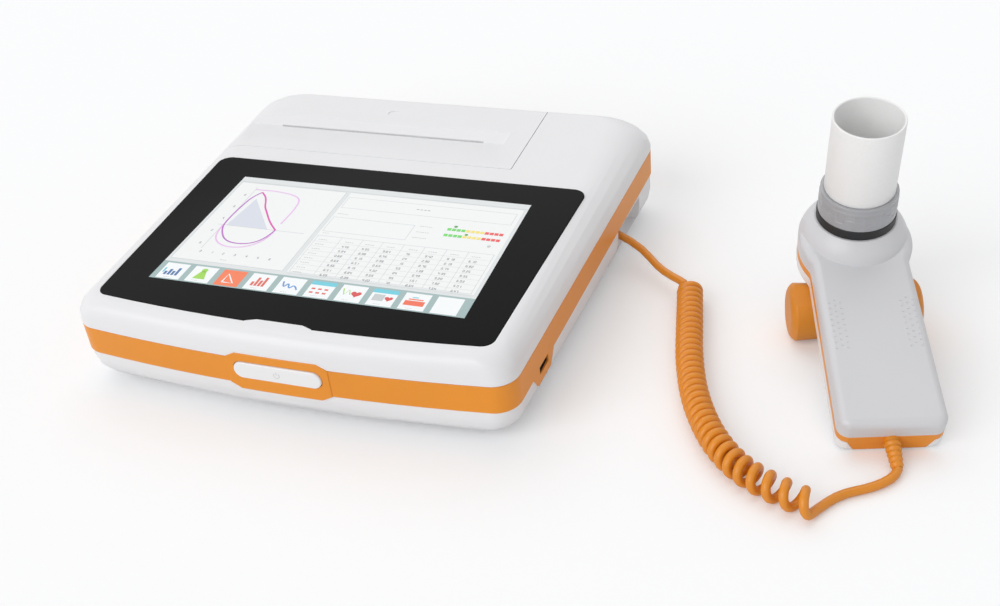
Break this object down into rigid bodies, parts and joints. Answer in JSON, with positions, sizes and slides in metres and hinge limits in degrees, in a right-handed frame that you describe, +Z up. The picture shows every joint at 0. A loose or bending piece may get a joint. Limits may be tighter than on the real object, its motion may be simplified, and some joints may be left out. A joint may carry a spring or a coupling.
{
  "type": "desktop spirometer",
  "caption": "Desktop spirometer: white and orange console with touch screen and built-in paper printer, and a corded handset that holds a turbine and a card mouthpiece",
  "frame": {"origin": "floor level under the middle of the console and handset together", "axes": "+X to the right towards the handset, +Y to the rear, +Z up"},
  "size_m": [0.3814, 0.2267, 0.1086],
  "materials": {
    "white_shell": "white satin-gloss moulded plastic",
    "orange_plastic": "orange satin plastic",
    "black_glass": "black-backed touch glass",
    "display": "lit display panel",
    "steel_sheet": "plain steel",
    "board_green": "circuit board lacquer",
    "platen_rubber": "matte black rubber",
    "gear_plastic": "natural acetal",
    "head_aluminium": "extruded aluminium",
    "paper": "thermal paper",
    "card": "smooth white card",
    "battery_wrap": "shrink sleeve",
    "black_plastic": "fine-textured black plastic",
    "feet_rubber": "grey rubber",
    "cord_orange": "orange soft cord jacket",
    "turbine_clear": "smoky translucent plastic",
    "seal_black": "black rubber ring"
  },
  "bodies": {
    "console": {"top_cover": "white_shell", "bottom_cover": "white_shell", "handset_top_shell": "white_shell", "handset_bottom_shell": "white_shell", "battery_door": "white_shell", "side_band": "orange_plastic", "handset_band": "orange_plastic", "handset_rest": "orange_plastic", "touch_glass": "black_glass", "display_panel": "display", "display_bracket": "steel_sheet", "lid_hinge_pin": "steel_sheet", "printer_frame": "steel_sheet", "case_screws": "steel_sheet", "handset_screws": "steel_sheet", "data_port": "steel_sheet", "feed_motor": "steel_sheet", "main_board": "board_green", "button_board": "board_green", "handset_board": "board_green", "print_head": "head_aluminium", "battery_pack": "battery_wrap", "paper_bin": "black_plastic", "power_socket": "black_plastic", "sensor_socket": "black_plastic", "speaker": "black_plastic", "optical_sensors": "black_plastic", "rubber_feet": "feet_rubber", "cord_lead_console": "cord_orange", "cord_coil": "cord_orange", "cord_lead_handset": "cord_orange", "strain_relief": "cord_orange", "sensor_plug": "cord_orange", "head_seal": "seal_black"},
    "lid": {"printer_lid": "white_shell"},
    "button": {"power_button": "white_shell"},
    "platen": {"platen_roller": "platen_rubber", "platen_gear": "gear_plastic"},
    "pinion": {"motor_pinion": "gear_plastic"},
    "paper": {"paper_roll": "paper", "paper_core": "card"},
    "turbine": {"turbine_body": "turbine_clear", "swirler_low": "turbine_clear", "swirler_high": "turbine_clear", "turbine_axle": "steel_sheet"},
    "rotor": {"turbine_rotor": "black_plastic"},
    "mouthpiece_tube": {"mouthpiece": "card"}
  },
  "joints": [
    {"name": "lid_hinge", "type": "hinge", "parent": "console", "child": "lid", "pos_m": [-0.0778, 0.10579, 0.04242], "axis": [-1, 0, 0], "range_deg": [0, 80]},
    {"name": "power_press", "type": "slide", "parent": "console", "child": "button", "axis": [0, 0.9997, 0.0262], "range_m": [0, 0.001], "stiffness_N_per_m": 900, "springref_m": -0.0005},
    {"name": "platen_spin", "type": "hinge", "parent": "console", "child": "platen", "pos_m": [-0.0778, 0.06316, 0.03531], "axis": [1, 0, 0], "continuous": true},
    {"name": "pinion_spin", "type": "hinge", "parent": "console", "child": "pinion", "pos_m": [-0.0778, 0.05427, 0.02849], "axis": [1, 0, 0], "continuous": true},
    {"name": "paper_spin", "type": "hinge", "parent": "console", "child": "paper", "pos_m": [-0.0778, 0.088, 0.02645], "axis": [1, 0, 0], "continuous": true},
    {"name": "turbine_lock", "type": "hinge", "parent": "console", "child": "turbine", "pos_m": [0.14434, 0.02137, 0.05498], "axis": [0.0493, -0.1665, 0.9848], "range_deg": [0, 90]},
    {"name": "rotor_spin", "type": "hinge", "parent": "turbine", "child": "rotor", "pos_m": [0.14389, 0.02287, 0.04612], "axis": [0.0493, -0.1665, 0.9848], "continuous": true},
    {"name": "mouthpiece_pull", "type": "slide", "parent": "turbine", "child": "mouthpiece_tube", "axis": [0.0493, -0.1665, 0.9848], "range_m": [0, 0.012]}
  ],
  "couplings": [
    {"joint": "pinion_spin", "follows": "platen_spin", "ratio": -1.8}
  ]
}
